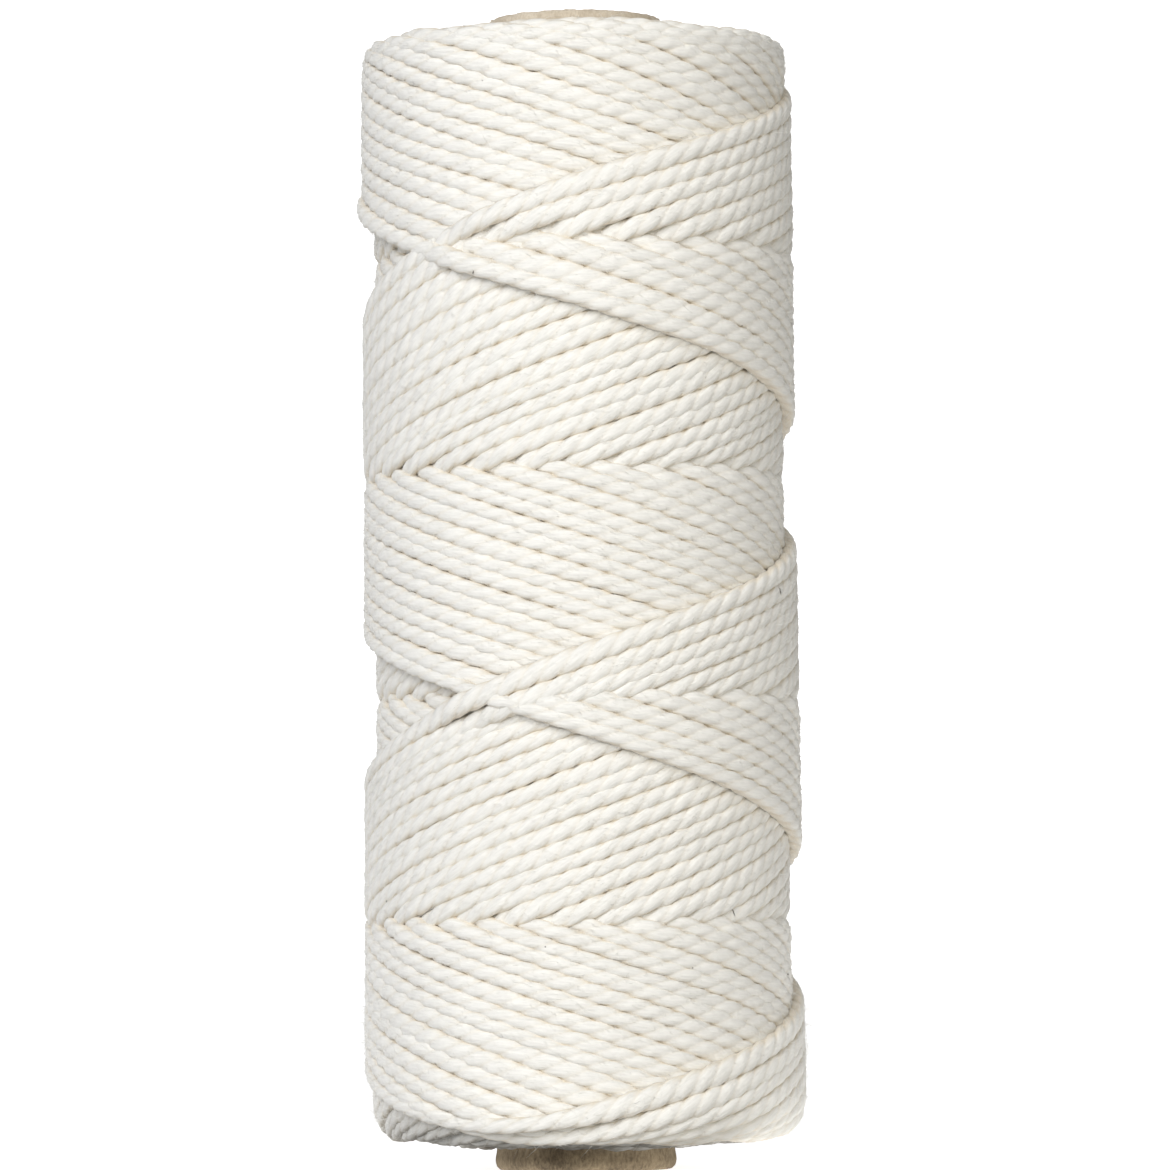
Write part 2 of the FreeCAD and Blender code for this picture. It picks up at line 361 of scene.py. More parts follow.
class Winding:
    """The middle line of the twine, from its first turns to its end."""

    def __init__(self):
        angles, heights = traverse_table()
        start = angles[0]
        age = np.arange(ALL_CYCLES, (start - LAST_ANGLE) / CYCLE, -GRID / CYCLE)
        phase = start + (np.ceil(age) - age) * CYCLE
        self.turned = start - turned_since(age)
        behind = (LAST_ANGLE - self.turned) / CYCLE
        from_bottom = np.abs(phase - angles[np.argmin(heights)])
        from_top = np.minimum(phase - start, start + CYCLE - phase)
        height = np.interp(phase, angles, heights)
        radius = layered_radius(angles, heights, age, phase, height)
        buried = np.clip((SURFACE - radius) / (SURFACE - TUBE_RADIUS), 0, 1)
        height = height + newest_offset(phase, behind)

        # Older reversals are pushed towards the end faces by the newer ones
        settled = 1 - np.exp(-np.floor(behind + TINY))
        deeper = DEEPER_PUSH * np.clip(buried - DEEPER_FROM, 0, 1)
        self.height = (
            height
            - (BOTTOM_PUSH + deeper) * settled * bell(from_bottom, PUSH_WIDTH)
            + (TOP_PUSH + DEEPER_AT_TOP * deeper) * settled * bell(from_top, PUSH_WIDTH)
            + waver(self.turned, HEIGHT_WAVER, HEIGHT_SEED)
        )

        # What piles up at the ends, what stands off the roll and what is tucked in
        swell, swell_height = LOWER_SWELL
        piled = np.interp(behind, PILE_AGES, (0, 1))
        loose_angle, loose_most, loose_width = LOOSE_TURN
        loose = np.where(behind < 1, loose_most * bell(phase - loose_angle, loose_width), 0)
        tucked = TUCK_DEPTH * np.clip((self.turned - LAST_ANGLE) / TUCK_ANGLE + 1, 0, 1) ** 2
        self.radius = (
            radius
            + swell * np.clip(1 - self.height / swell_height, 0, 1)
            + LOWER_PILE * piled * bell(from_bottom, PILE_WIDTH)
            + UPPER_PILE * piled * bell(from_top, PILE_WIDTH)
            - self.shoulder() * (1 - buried)
            + loose
            - tucked
            + waver(self.turned, RADIUS_WAVER, RADIUS_SEED)
        )
        self.half_width = self.pressed_width()
        # Painted shade on the older turns at the lower end, under the newer turns
        shade_from_age, shade_over_cycles = LOWER_SHADE_AGES
        shade_below_height, shade_over_height = LOWER_SHADE_HEIGHTS
        older = np.clip((behind - shade_from_age) / shade_over_cycles, 0, 1)
        self.lower_end_shade = older * np.clip((shade_below_height - self.height) / shade_over_height, 0, 1)
        self.near_end = np.minimum(from_bottom, from_top) < REVERSAL_WIDTH
        self.count = len(age)
        steps = np.linalg.norm(np.diff(self.points(np.arange(self.count)), axis=0), axis=1)
        self.along = np.concatenate([[0.0], np.cumsum(steps)])

        # The outer layers start at this index
        self.surface_start = np.searchsorted(-age, -SURFACE_CYCLES)

    def pressed_width(self):
        """Half the width of the twine, which fills the space between its neighbours."""
        newer = np.interp(self.turned + FIVE_TURNS, self.turned, self.height)
        older = np.interp(self.turned - FIVE_TURNS, self.turned, self.height)
        rise = np.abs(np.gradient(self.height, self.turned)) / np.radians(self.radius)
        to_older = np.abs(self.height - older)
        has_newer = self.turned + FIVE_TURNS < LAST_ANGLE
        to_newer = np.where(has_newer, np.abs(newer - self.height), to_older)
        further_share, nearer_share = SPACE_SHARES
        further = np.maximum(to_older, to_newer)
        nearer = np.minimum(to_older, to_newer)
        space = further_share * further + nearer_share * nearer
        room = space / 2 / np.sqrt(1 + rise**2)
        swell = 1 + waver(self.turned, WIDTH_WAVER, WIDTH_SEED)
        return np.clip(OVERLAP * room, *HALF_WIDTHS) * swell

    def shoulder(self):
        """How much thinner the roll is at the height of each point."""
        drop = np.zeros(len(self.height))
        for side, (stop, length, most) in ((1, UPPER_SHOULDER), (-1, LOWER_SHOULDER)):
            inside = np.clip(1 + side * (self.height - stop) / length, 0, 1)
            drop += most * (1 - np.sqrt(1 - inside**2))
        return drop

    def points(self, indices):
        """Places on the middle line, in millimetres."""
        return on_roll(self.radius[indices], np.radians(self.turned[indices]), self.height[indices])


def twine_axes(points, forward):
    """The directions out of the twine and across it, both square to its own."""
    outward = points * np.array([1.0, 1.0, 0.0])
    across = unit(np.cross(forward, outward))
    return np.cross(across, forward), across


def twine_section():
    """The outline of the free twine, 1 mm in radius: the arcs of its plies, which meet in grooves."""
    half = math.pi / PLIES
    ply_radius = 1 / (1 + PLY_OFFSET)
    offset = PLY_OFFSET * ply_radius
    points = []
    for ply in range(PLIES):
        for share in PLY_POINTS:
            away = -half + 2 * half * share
            reach = offset * math.cos(away) + math.sqrt(ply_radius**2 - (offset * math.sin(away)) ** 2)
            angle = away + 2 * half * ply
            points.append((reach * math.cos(angle), reach * math.sin(angle)))
    return np.array(points)


def turned_section(section, turn):
    """The two coordinates of the section's points at each ring, after a turn about its middle."""
    first = section[:, 0] * np.cos(turn) - section[:, 1] * np.sin(turn)
    second = section[:, 0] * np.sin(turn) + section[:, 1] * np.cos(turn)
    return first, second


def strand_rings(winding, indices, seed):
    """The rings of vertices round one stretch of twine, with what the cotton needs to know of them."""
    points = winding.points(indices)
    along = winding.along[indices]
    outward, across = twine_axes(points, unit(np.gradient(points, axis=0)))
    section = twine_section()
    shape = (len(points), len(section))
    uneven = waver(winding.turned[indices], TWIST_WAVER, seed + 1)
    twist = (-2 * math.pi * along / LAY_LENGTH + uneven)[:, None]
    swell = 1 + UNEVEN * np.random.default_rng(seed).standard_normal(shape)
    swell[0] = 1
    swell[-1] = 1
    high, wide = turned_section(section, twist)
    high = high * swell
    wide = wide * swell

    # Pressed between its neighbours, the twine is squarer than round
    squared = (np.abs(high) ** SQUARENESS + np.abs(wide) ** SQUARENESS) ** (1 / SQUARENESS)
    squarer = np.hypot(high, wide) / squared
    high = high * squarer
    wide = wide * squarer
    half_width = winding.half_width[indices][:, None, None]
    rings = (
        points[:, None, :]
        + outward[:, None, :] * high[:, :, None] * HALF_THICK
        + across[:, None, :] * wide[:, :, None] * half_width
    )

    # The fibres themselves run nearly straight along the twine, against the turn of the plies
    lay = np.empty((*shape, 3))
    lay[:, :, 0] = along[:, None]
    lay[:, :, 1], lay[:, :, 2] = turned_section(section, FIBRE_TURN * twist)

    # Painted shade: down the twine's side, deep in a ply groove, and on older turns at the lower end
    groove = 1 - np.linalg.norm(section, axis=1)
    shade = np.empty((*shape, 3))
    shade[:, :, 0] = np.clip((SHADE_BELOW - high) / SHADE_DEPTH, 0, 1)
    shade[:, :, 1] = groove / groove.max()
    shade[:, :, 2] = winding.lower_end_shade[indices][:, None]
    return rings, lay, shade


def tube_faces(rings, around, first):
    """Four-sided faces between neighbouring rings of vertices."""
    ring = np.arange(rings - 1)[:, None] * around
    side = np.arange(around)[None, :]
    following = (side + 1) % around
    quads = np.stack([ring + side, ring + following, ring + around + following, ring + around + side], 2)
    return quads.reshape(-1, 4) + first


def bake_places(rings, around, first_ring, all_rings):
    """A place on the bake map for each corner of the same faces: the twine lies there in rows."""
    row_length = math.ceil(all_rings / BAKE_ROWS)
    ring = (first_ring + np.arange(rings - 1))[:, None]
    side = np.arange(around)[None, :]
    row = ring // row_length
    left = (ring % row_length + 0 * side) / row_length
    low = (row + BAKE_MARGIN + BAKE_HEIGHT * side / around) / BAKE_ROWS
    high = (row + BAKE_MARGIN + BAKE_HEIGHT * (side + 1) / around) / BAKE_ROWS
    right = left + 1 / row_length
    corners = np.stack([left, low, left, high, right, high, right, low], 2)
    return corners.reshape(-1, 2)


def add_object(name, data):
    """A new object in the scene."""
    item = bpy.data.objects.new(name, data)
    bpy.context.scene.collection.objects.link(item)
    return item


def make_mesh(name, vertices, faces):
    """A smooth mesh from millimetres, whose faces all have the same number of sides."""
    mesh = bpy.data.meshes.new(name)
    mesh.vertices.add(len(vertices))
    mesh.vertices.foreach_set("co", (vertices * MM).astype(np.float32).ravel())
    mesh.loops.add(faces.size)
    mesh.loops.foreach_set("vertex_index", faces.astype(np.int32).ravel())
    mesh.polygons.add(len(faces))
    starts = np.arange(0, faces.size, faces.shape[1], dtype=np.int32)
    mesh.polygons.foreach_set("loop_start", starts)
    mesh.update(calc_edges=True)
    mesh.polygons.foreach_set("use_smooth", np.ones(len(faces), bool))
    return add_object(name, mesh)


def make_twine_mesh(name, vertices, faces, places, lay, shade):
    """The same with a bake map, and with what the cotton needs to know at each vertex."""
    piece = make_mesh(name, vertices, faces)
    for label, values in (("lay", lay), ("shade", shade)):
        attribute = piece.data.attributes.new(label, "FLOAT_VECTOR", "POINT")
        attribute.data.foreach_set("vector", values.astype(np.float32).ravel())
    bake_map = piece.data.uv_layers.new(name="OFBake")
    bake_map.data.foreach_set("uv", places.astype(np.float32).ravel())
    return piece


def strand_piece(name, winding, stretches, seed):
    """One mesh of several stretches of the twine."""
    all_rings = sum(len(indices) for indices in stretches)
    first_ring = 0
    parts = []
    for number, indices in enumerate(stretches):
        rings, lay, shade = strand_rings(winding, indices, seed + number)
        count, around = rings.shape[:2]
        faces = tube_faces(count, around, first_ring * around)
        places = bake_places(count, around, first_ring, all_rings)
        parts.append((rings.reshape(-1, 3), faces, places, lay.reshape(-1, 3), shade.reshape(-1, 3)))
        first_ring += count
    joined = [np.concatenate(values) for values in zip(*parts)]
    return make_twine_mesh(name, *joined)


def surface_pieces(winding):
    """The twine of the outer layers, in pieces that follow each other."""
    indices = np.arange(winding.surface_start, winding.count, RING_EVERY)
    pieces = []
    for number, begin in enumerate(range(0, len(indices) - 1, RINGS_PER_PIECE)):
        stretch = indices[begin : begin + RINGS_PER_PIECE + 1]
        seed = SURFACE_SEED + number
        pieces.append(strand_piece(f"twine_outer_{number + 1}", winding, [stretch], seed))
    return pieces


def end_pieces(winding):
    """The reversals of the older turns, which show at both end faces."""
    indices = np.arange(0, winding.surface_start, END_RING_EVERY)
    near = winding.near_end[indices]
    breaks = np.flatnonzero(np.diff(near.astype(int))) + 1
    upper = []
    lower = []
    for run in np.split(indices, breaks):
        if not winding.near_end[run[0]] or len(run) < FEWEST_RINGS:
            continue
        if winding.height[run].mean() > TUBE_LENGTH / 2:
            upper.append(run)
        else:
            lower.append(run)
    return [
        strand_piece("twine_upper_end", winding, upper, UPPER_SEED),
        strand_piece("twine_lower_end", winding, lower, LOWER_SEED),
    ]


class Envelope:
    """How far out the twine reaches, over a grid of angle and height."""

    def __init__(self, winding):
        indices = np.arange(winding.surface_start, winding.count, REACH_EVERY)
        self.reach = np.zeros((360, LEVELS))
        reach = winding.radius[indices] + HALF_THICK
        turn, level = self.cell(winding.turned[indices], winding.height[indices])
        for step in (-2, -1, 0, 1, 2):
            beside = np.clip(level + step, 0, LEVELS - 1)
            np.maximum.at(self.reach, (turn, beside), reach - CROWN_DROP * step**2)

    def cell(self, angle, height):
        """The grid cell of each point."""
        turn = np.floor(angle % 360).astype(int) % 360
        return turn, np.clip(height * LEVELS_PER_MM, 0, LEVELS - 1).astype(int)

    def at(self, angle, height):
        """The reach at each point."""
        return self.reach[self.cell(angle, height)]


def surface_places(winding, envelope, count, random):
    """Random places on the twine where it lies uncovered: indices and directions across it."""
    tries = count * TRIES_PER_HAIR
    indices = random.integers(winding.surface_start, winding.count - 2, tries)
    reach = winding.radius[indices] + HALF_THICK
    covered = envelope.at(winding.turned[indices], winding.height[indices]) - OPEN_WITHIN
    indices = indices[reach > covered][:count]
    return indices, random.uniform(-HAIR_LEAN, HAIR_LEAN, len(indices))


def hair_paths(winding, indices, lean, random):
    """The middle lines of the loose fibres, with two directions square to the twine for each."""
    count = len(indices)
    points = winding.points(indices)
    forward = unit(winding.points(indices + 1) - points)
    outward, across = twine_axes(points, forward)
    up_share = np.cos(lean)[:, None]
    side_share = np.sin(lean)[:, None]
    off = outward * up_share + across * side_share
    root = points + outward * up_share * HAIR_ROOT * HALF_THICK
    root += across * side_share * HAIR_ROOT * winding.half_width[indices][:, None]

    # Each fibre starts along the twine, one way or the other, and curls back down
    side = random.choice([-1.0, 1.0], count)[:, None]
    start_way = off * random.uniform(*HAIR_RISE, (count, 1)) + side * forward
    start_way += random.normal(0, HAIR_STRAY, (count, 3))
    start_way = unit(start_way)
    curl = random.normal(0, HAIR_CURL, (count, 3)) - HAIR_FALL * off
    length = HAIR_LENGTH * np.minimum(random.gamma(*HAIR_LENGTHS, (count, 1)), HAIR_LONGEST)
    steps = np.linspace(0, 1, HAIR_STEPS + 1)[None, :, None]
    path = root[:, None, :] + length[:, None] * (
        start_way[:, None, :] * steps + curl[:, None, :] * steps**2
    )
    return path, off, across


def fuzz_piece(name, winding, envelope, seed):
    """Loose fibres that stand off the twine, as thin three-sided hairs."""
    random = np.random.default_rng(seed)
    indices, lean = surface_places(winding, envelope, HAIRS_PER_PIECE, random)
    path, off, across = hair_paths(winding, indices, lean, random)
    steps = np.linspace(0, 1, HAIR_STEPS + 1)
    thickness = HAIR_RADIUS * (1 - HAIR_TAPER * steps)[None, :, None]
    corners = []
    for corner in range(HAIR_SIDES):
        angle = 2 * math.pi * corner / HAIR_SIDES
        way = off * math.cos(angle) + across * math.sin(angle)
        corners.append(path + way[:, None, :] * thickness)
    vertices = np.stack(corners, axis=2).reshape(-1, 3)
    hair = np.arange(len(indices))[:, None, None] * HAIR_SIDES * len(steps)
    ring = hair + np.arange(HAIR_STEPS)[None, :, None] * HAIR_SIDES
    following = ring + HAIR_SIDES
    corner = np.arange(HAIR_SIDES)[None, None, :]
    after = (corner + 1) % HAIR_SIDES
    faces = np.stack([ring + corner, ring + after, following + after, following + corner], 3)
    return make_mesh(name, vertices, faces.reshape(-1, 4))


def specks_piece(envelope):
    """Specks of seed coat in the cotton, each a small rough octahedron."""
    random = np.random.default_rng(SPECK_SEED)
    places = list(SPECKS)
    for _ in range(MORE_SPECKS):
        places.append((random.uniform(*SPECK_ANGLES), random.uniform(*SPECK_HEIGHTS)))
    upward = np.array([0.0, 0.0, 1.0])
    vertices = []
    faces = []
    for angle, height in places:
        turn = math.radians(angle)
        outward = np.array([math.sin(turn), -math.cos(turn), 0.0])
        sideways = np.array([math.cos(turn), math.sin(turn), 0.0])
        reach = envelope.at(np.array([angle]), np.array([height]))[0]
        middle = outward * (reach - SPECK_SUNK) + upward * height
        sizes = (random.uniform(*SPECK_LONG), random.uniform(*SPECK_WIDE), SPECK_THICK)
        roll = random.uniform(0, math.pi)
        first_way = sideways * math.cos(roll) + upward * math.sin(roll)
        second_way = upward * math.cos(roll) - sideways * math.sin(roll)
        first = len(vertices)
        for way, size in zip((first_way, second_way, outward), sizes):
            for sign in (-1, 1):
                vertices.append(middle + sign * size * random.uniform(*SPECK_ROUGH) * way)

        # Every other face is turned round, so that all of them look outwards
        for one in (0, 1):
            for two in (2, 3):
                for three in (4, 5):
                    corner = [first + one, first + two, first + three]
                    faces.append(corner if (one + two + three) % 2 == 0 else corner[::-1])
    return make_mesh("seed_specks", np.array(vertices), np.array(faces))


def worn_ply_profile():
    """Radii and heights round the wall of the tube's outer ply, up outside and down inside."""
    lower = np.linspace(0, LOWER_END, END_LEVELS)
    upper = np.linspace(UPPER_END, TUBE_LENGTH, END_LEVELS)
    levels = np.concatenate([lower, np.arange(*LEVELS_BETWEEN), upper])
    from_end = np.minimum(levels, TUBE_LENGTH - levels)
    rounding, rounding_height = WORN_ROUNDING
    flare, flare_height, flare_width = WORN_FLARE
    outer = (
        TUBE_RADIUS
        - rounding * np.clip(1 - from_end / rounding_height, 0, 1) ** 2
        + flare * bell(levels - flare_height, flare_width)
    )
    inner = np.full(len(levels), TUBE_RADIUS - PLY_WALL + PLY_SPACE)
    is_outer = np.repeat([True, False], len(levels))
    return np.concatenate([outer, inner]), np.concatenate([levels, levels[::-1]]), is_outer


def worn_ply_piece():
    """The outer ply of the paper tube, with worn ends and its open spiral seam."""
    radius, height, is_outer = worn_ply_profile()
    half_gap = 180 * SEAM_GAP / SEAM_RISE
    turn = np.linspace(half_gap, 360 - half_gap, PLY_SIDES + 1)
    seam = 90 + 360 * (height + SEAM_START) / SEAM_RISE
    angle = np.radians(turn[:, None] + seam[None, :])
    random = np.random.default_rng(PAPER_SEED)
    at_end = np.exp(-np.minimum(height, TUBE_LENGTH - height) / RAGGED_HEIGHT)
    reach = radius + RAGGED * random.normal(0, 1, angle.shape) * at_end * is_outer
    top_share = np.clip((height - FRAYED_ABOVE) / (TUBE_LENGTH - FRAYED_ABOVE), 0, 1) ** 3
    level = height + top_share * (FRAYED + RAGGED * random.normal(0, 1, angle.shape))
    vertices = on_roll(reach, angle, level).reshape(-1, 3)

    # The walls with both end faces, and then both edges of the seam
    loop = len(height)
    column = np.arange(PLY_SIDES)[:, None] * loop
    place = np.arange(loop)[None, :]
    after = (place + 1) % loop
    sides = np.stack([column + place, column + loop + place, column + loop + after, column + after], 2)
    step = np.arange(loop // 2 - 1)
    opposite = loop - 1 - step
    edge = np.stack([step, step + 1, opposite - 1, opposite], 1)
    far_edge = edge[:, ::-1] + PLY_SIDES * loop
    faces = np.concatenate([sides.reshape(-1, 4), edge, far_edge])
    return make_mesh("paper_outer_ply", vertices, faces)


def core_piece():
    """The body of older turns that the outer layers hide."""
    low, high = CORE_ENDS
    profile = [(CORE_BORE, low), (CORE_RADIUS, low), (CORE_RADIUS, high), (CORE_BORE, high)]
    count = len(profile)
    angle = 2 * math.pi * np.arange(CORE_SIDES)[:, None] / CORE_SIDES
    radius, height = np.array(profile).T
    vertices = on_roll(radius, angle, height + 0 * angle).reshape(-1, 3)
    corner = np.arange(count)[None, :]
    side = np.arange(CORE_SIDES)[:, None]
    here = side * count
    after = (side + 1) % CORE_SIDES * count
    ahead = (corner + 1) % count
    faces = np.stack([here + corner, after + corner, after + ahead, here + ahead], 2).reshape(-1, 4)
    left = side / CORE_SIDES + 0 * corner
    right = left + 1 / CORE_SIDES
    low_place = corner / count + 0 * side
    high_place = low_place + 1 / count
    corners = [left, low_place, right, low_place, right, high_place, left, high_place]
    places = np.stack(corners, 2).reshape(-1, 2)

    # All of it is painted in the full shade of the deepest hollows between turns
    lay = np.zeros((len(vertices), 3))
    shade = lay + (1, 1, 0)
    return make_twine_mesh("twine_core", vertices, faces, places, lay, shade)


def new_material(name, inputs):
    """A material whose shader has these inputs."""
    material = bpy.data.materials.new(name)
    material.use_nodes = True
    shader = material.node_tree.nodes["Principled BSDF"]
    for key, value in inputs.items():
        shader.inputs[key].default_value = value
    return material


def add_node(tree, kind, inputs, **settings):
    """A shader node with its settings, and with a value or another node's output at each input."""
    node = tree.nodes.new(kind)
    for setting, value in settings.items():
        setattr(node, setting, value)
    for key, value in inputs.items():
        if isinstance(value, bpy.types.NodeSocket):
            tree.links.new(value, node.inputs[key])
        else:
            node.inputs[key].default_value = value
    return node


def calculate(tree, operation, *values, clamp=False):
    """The result of a calculation with numbers and other nodes' outputs."""
    inputs = dict(enumerate(values))
    node = add_node(tree, "ShaderNodeMath", inputs, operation=operation, use_clamp=clamp)
    return node.outputs[0]


def map_range(tree, value, start, stop, low=0.0, high=1.0):
    """A value that goes from low to high as the given one goes from start to stop."""
    inputs = {"Value": value, "From Min": start, "From Max": stop, "To Min": low, "To Max": high}
    return add_node(tree, "ShaderNodeMapRange", inputs).outputs[0]


def mix_colours(tree, share, first, second):
    """The first colour, with this share of the second."""
    inputs = {"Factor": share, 6: first, 7: second}
    return add_node(tree, "ShaderNodeMix", inputs, data_type="RGBA").outputs[2]


def split_vector(tree, vector):
    """The three parts of a vector."""
    return add_node(tree, "ShaderNodeSeparateXYZ", {0: vector}).outputs


def fibre_noise(tree, place, fineness, detail):
    """Fine fibres, longest in the direction in which they are least fine."""
    stretched = add_node(tree, "ShaderNodeVectorMath", {0: place, 1: fineness}, operation="MULTIPLY")
    inputs = {
        "Vector": stretched.outputs["Vector"],
        "Scale": 1.0,
        "Detail": detail,
        "Roughness": 0.7,
    }
    return add_node(tree, "ShaderNodeTexNoise", inputs).outputs["Fac"]


def feed_shader(tree, key, output):
    """Puts the output of a node at an input of the material's shader."""
    tree.links.new(output, tree.nodes["Principled BSDF"].inputs[key])


def add_relief(tree, height, strength, distance):
    """Fine relief on the surface, its full height in metres."""
    inputs = {"Strength": strength, "Distance": distance, "Height": height}
    bump = add_node(tree, "ShaderNodeBump", inputs)
    feed_shader(tree, "Normal", bump.outputs["Normal"])


def twine_material():
    """Natural cotton: warm off-white, with fine fibres along the plies, and painted warm shade in its
    hollows and grooves.
    """
    proud_colour = (0.93, 0.92, 0.885, 1)
    # Painted shade: the warm dark colour painted on the twine's sides, undersides and ply grooves
    painted_shade_colour = (0.74, 0.61, 0.41, 1)
    side_shade_share = 0.5
    groove_shade_share = 0.14
    noise_range = (0.3, 0.7)
    fibre_shades = (0.88, 1.05)
    # Shares of the colour taken away by the painted shade at the lower end: in hollows and all over
    lower_shade_in_hollows = -0.5
    lower_shade_all_over = -0.25
    inputs = {
        "Roughness": 0.85,
        "Specular IOR Level": 0.25,
        "Sheen Weight": 0.25,
        "Sheen Roughness": 0.6,
    }
    material = new_material("twine_cotton", inputs)
    tree = material.node_tree
    lay = add_node(tree, "ShaderNodeAttribute", {}, attribute_name="lay")
    shade = add_node(tree, "ShaderNodeAttribute", {}, attribute_name="shade")
    parts = split_vector(tree, shade.outputs["Vector"])

    # Fibres are long along the twine and fine across it
    fibres = fibre_noise(tree, lay.outputs["Vector"], fineness=(0.40, 3.6, 3.6), detail=4.0)

    # Painted shade: the twine's sides and the grooves between its plies are painted warmer and darker
    side = calculate(tree, "MULTIPLY", parts["X"], side_shade_share)
    groove = calculate(tree, "POWER", parts["Y"], 2.0)
    painted_hollow_shade = calculate(tree, "MULTIPLY_ADD", groove, groove_shade_share, side, clamp=True)
    cotton = mix_colours(tree, painted_hollow_shade, proud_colour, painted_shade_colour)
    streak = map_range(tree, fibres, *noise_range, *fibre_shades)

    # Painted shade on the older turns at the lower end, darkest in their hollows
    depth = calculate(tree, "MULTIPLY_ADD", parts["X"], lower_shade_in_hollows, lower_shade_all_over)
    light = calculate(tree, "MULTIPLY_ADD", depth, parts["Z"], 1.0)
    strength = calculate(tree, "MULTIPLY", streak, light)
    inputs = {0: cotton, "Scale": strength}
    colour = add_node(tree, "ShaderNodeVectorMath", inputs, operation="SCALE")
    feed_shader(tree, "Base Color", colour.outputs["Vector"])
    add_relief(tree, fibres, strength=0.8, distance=0.00015)
    return material


def fibre_material():
    """The loose fibres: plain white cotton."""
    return new_material("cotton_fibre", {"Base Color": (0.94, 0.93, 0.90, 1), "Roughness": 0.8})


def speck_material():
    """Dark brown seed coat."""
    return new_material("seed_coat", {"Base Color": (0.035, 0.024, 0.010, 1), "Roughness": 0.7})


def paper_material():
    """Grey-brown paper with short upright fibres, darker towards its lower end."""
    lower_dark = (0.17, 0.132, 0.088, 1)
    lower_light = (0.44, 0.35, 0.235, 1)
    upper_dark = (0.54, 0.46, 0.355, 1)
    upper_light = (0.77, 0.69, 0.57, 1)
    noise_range = (0.75, 1.25)
    darkest_below = 0.06
    lightest_above = 0.15
    material = new_material("tube_paper", {"Roughness": 0.9, "Specular IOR Level": 0.2})
    tree = material.node_tree
    place = add_node(tree, "ShaderNodeTexCoord", {}).outputs["Object"]

    # Fibres and larger stains together make the paper mottled
    fibres = fibre_noise(tree, place, fineness=(2600, 2600, 1300), detail=3.0)
    inputs = {"Vector": place, "Scale": 170.0, "Detail": 3.0}
    stains = add_node(tree, "ShaderNodeTexNoise", inputs).outputs["Fac"]
    both = calculate(tree, "ADD", fibres, stains)
    mottle = map_range(tree, both, *noise_range)

    # It gets lighter upwards
    lower = mix_colours(tree, mottle, lower_dark, lower_light)
    upper = mix_colours(tree, mottle, upper_dark, upper_light)
    height = map_range(tree, split_vector(tree, place)["Z"], darkest_below, lightest_above)
    feed_shader(tree, "Base Color", mix_colours(tree, height, lower, upper))
    add_relief(tree, fibres, strength=0.7, distance=0.0002)
    return material


def make_camera():
    """The photograph's viewpoint: in front, low down, with a long lens tipped up a little."""
    data = bpy.data.cameras.new("camera")
    data.sensor_width = 36.0
    data.lens = 179.5
    data.clip_start = 0.05
    data.clip_end = 20.0
    camera = add_object("camera", data)
    tip_up = math.radians(3.09)
    lean = math.radians(-0.557)
    facing = Matrix.Rotation(math.radians(90) + tip_up, 4, "X") @ Matrix.Rotation(lean, 4, "Z")
    place = Matrix.Translation(Vector((0.0006, -0.790, 0.03615)))
    camera.matrix_world = place @ facing
    bpy.context.scene.camera = camera


def area_light(name, place, towards, size, colour, power):
    """A soft square light."""
    data = bpy.data.lights.new(name, "AREA")
    data.size = size
    data.color = colour
    data.energy = power
    light = add_object(name, data)
    light.location = place
    light.rotation_euler = (Vector(towards) - Vector(place)).to_track_quat("-Z", "Y").to_euler()


def stage_plane(name, corners, material):
    """A flat piece of the stage."""
    mesh = bpy.data.meshes.new(name)
    mesh.from_pydata(corners, [], [(0, 1, 2, 3)])
    mesh.materials.append(material)
    add_object(name, mesh)


def floor_material():
    """A pale table that is lit from below behind the roll, as far as the photograph shows it."""
    inputs = {
        "Base Color": (0.75, 0.75, 0.75, 1),
        "Roughness": 1.0,
        "Specular IOR Level": 0.0,
        "Emission Color": WHITE,
    }
    material = new_material("floor_white", inputs)
    tree = material.node_tree
    place = add_node(tree, "ShaderNodeTexCoord", {}).outputs["Object"]
    parts = split_vector(tree, place)

    # The glow starts along a line just in front of the tube, a little askew
    across_line = (0.21, 1, 0)
    front = -0.018
    full = -0.012
    glow_strength = 0.85
    behind = add_node(tree, "ShaderNodeVectorMath", {0: place, 1: across_line}, operation="DOT_PRODUCT")
    glow = map_range(tree, behind.outputs["Value"], front, full, 0.0, glow_strength)

    # It gets wider towards the back, as the view does, and fades out at both sides
    widening = -0.11
    full_within = 0.10
    none_beyond = 0.18
    sideways = calculate(tree, "ABSOLUTE", parts["X"])
    beside = calculate(tree, "MULTIPLY_ADD", parts["Y"], widening, sideways)
    within = map_range(tree, beside, full_within, none_beyond, 1.0, 0.0)
    feed_shader(tree, "Emission Strength", calculate(tree, "MULTIPLY", glow, within))
    return material


def make_floor():
    """A large table under the roll."""
    reach = 4.0
    corners = [(-reach, -reach, 0), (reach, -reach, 0), (reach, reach, 0), (-reach, reach, 0)]
    stage_plane("floor", corners, floor_material())


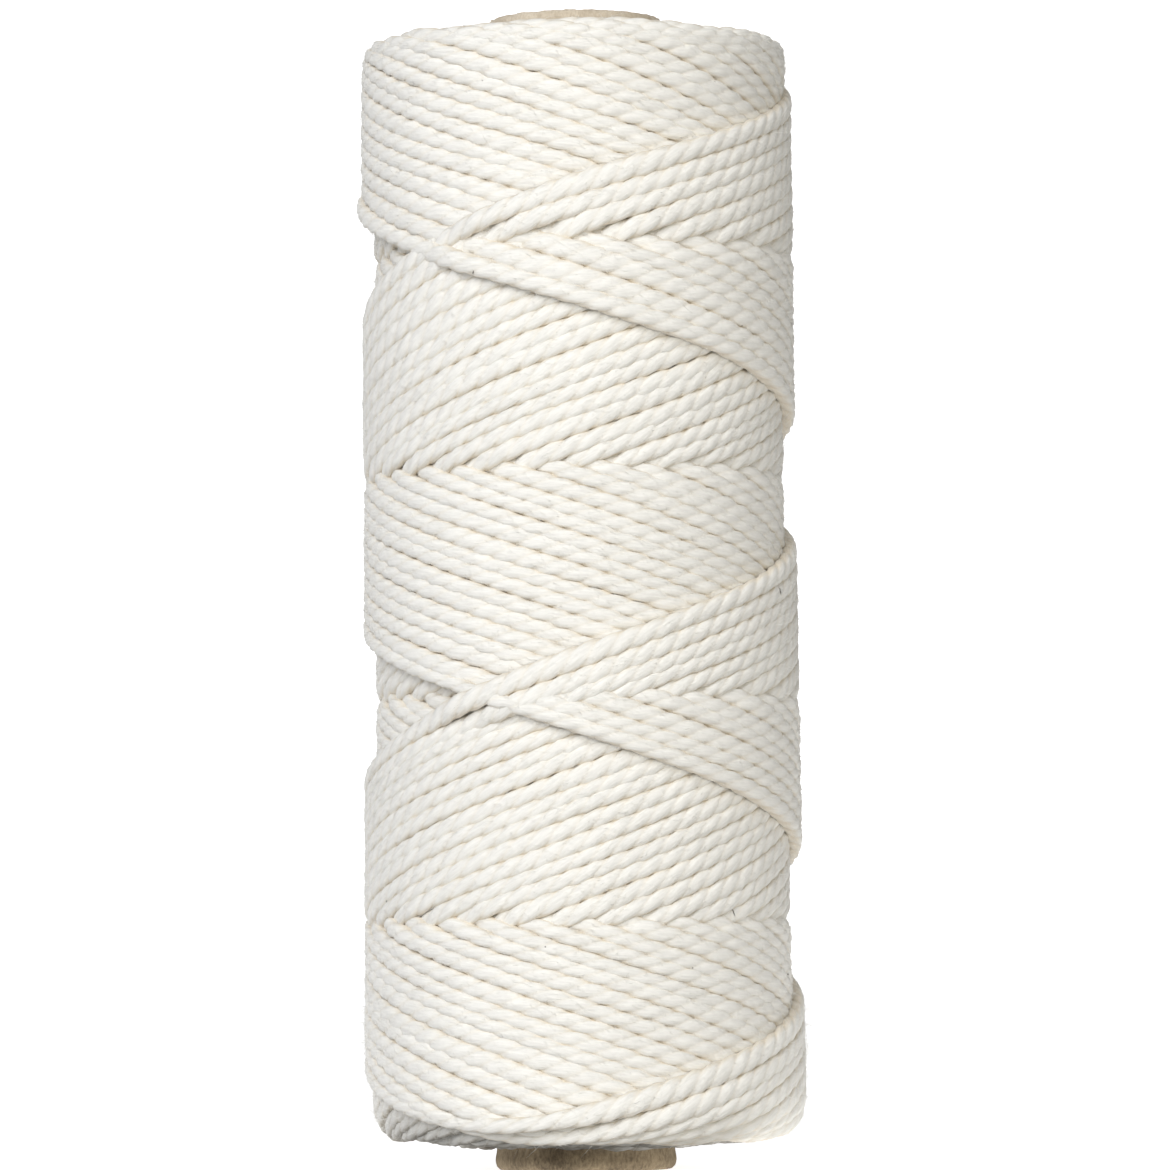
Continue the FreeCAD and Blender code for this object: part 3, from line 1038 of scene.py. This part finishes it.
def make_backdrop():
    """A glowing white wall behind the roll, only as large as the view of it."""
    half_width = 0.40
    height = 0.60
    behind = 2.0
    corners = [
        (-half_width, behind, 0),
        (half_width, behind, 0),
        (half_width, behind, height),
        (-half_width, behind, height),
    ]
    inputs = {"Base Color": (0.9, 0.9, 0.9, 1), "Emission Color": WHITE, "Emission Strength": 1.0}
    stage_plane("backdrop", corners, new_material("backdrop_white", inputs))


def make_world():
    """An even, dim white surround."""
    world = bpy.data.worlds.new("studio")
    world.use_nodes = True
    background = world.node_tree.nodes["Background"]
    background.inputs["Color"].default_value = (0.98, 0.99, 1, 1)
    background.inputs["Strength"].default_value = 0.21
    bpy.context.scene.world = world


def make_lights():
    """A large soft light from the front left, and a small warm one low at the front right."""
    area_light(
        "key",
        place=(-1.20, -3.00, 1.75),
        towards=(0, 0, 0.08),
        size=2.6,
        colour=(1, 1, 1),
        power=111.0,
    )
    area_light(
        "fill",
        place=(0.55, -0.85, 0.12),
        towards=(0, 0, 0.05),
        size=0.22,
        colour=(1, 0.92, 0.72),
        power=1.6,
    )


def cover(pieces, material):
    """Gives each piece the material."""
    for piece in pieces:
        piece.data.materials.append(material)


winding = Winding()
print(f"twine: {winding.along[-1] / 1000:.1f} m in all")

cotton = twine_material()
fibre = fibre_material()
speck = speck_material()
paper = paper_material()
envelope = Envelope(winding)

turns = surface_pieces(winding)
cover(turns, cotton)
fuzz = [
    fuzz_piece(f"twine_fuzz_{number + 1}", winding, envelope, HAIR_SEED + number)
    for number in range(HAIR_PIECES)
]
cover(fuzz, fibre)
specks = specks_piece(envelope)
cover([specks], speck)
outer = turns + fuzz + [specks]

inner = end_pieces(winding) + [core_piece()]
cover(inner, cotton)
for pieces, node in ((outer, "outer_turns"), (inner, "inner_turns")):
    for piece in pieces:
        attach(piece, "root")
        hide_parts(node)

worn_ply = worn_ply_piece()
cover([worn_ply], paper)
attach(worn_ply, "root")
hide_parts("tube_outer_ply")
for name in ("tube_inner_ply", "tube_middle_ply"):
    ply = bpy.data.objects[name]
    ply.data.materials.clear()
    ply.data.materials.append(paper)

make_camera()
make_floor()
make_backdrop()
make_world()
make_lights()
bpy.context.scene.view_settings.view_transform = "Standard"
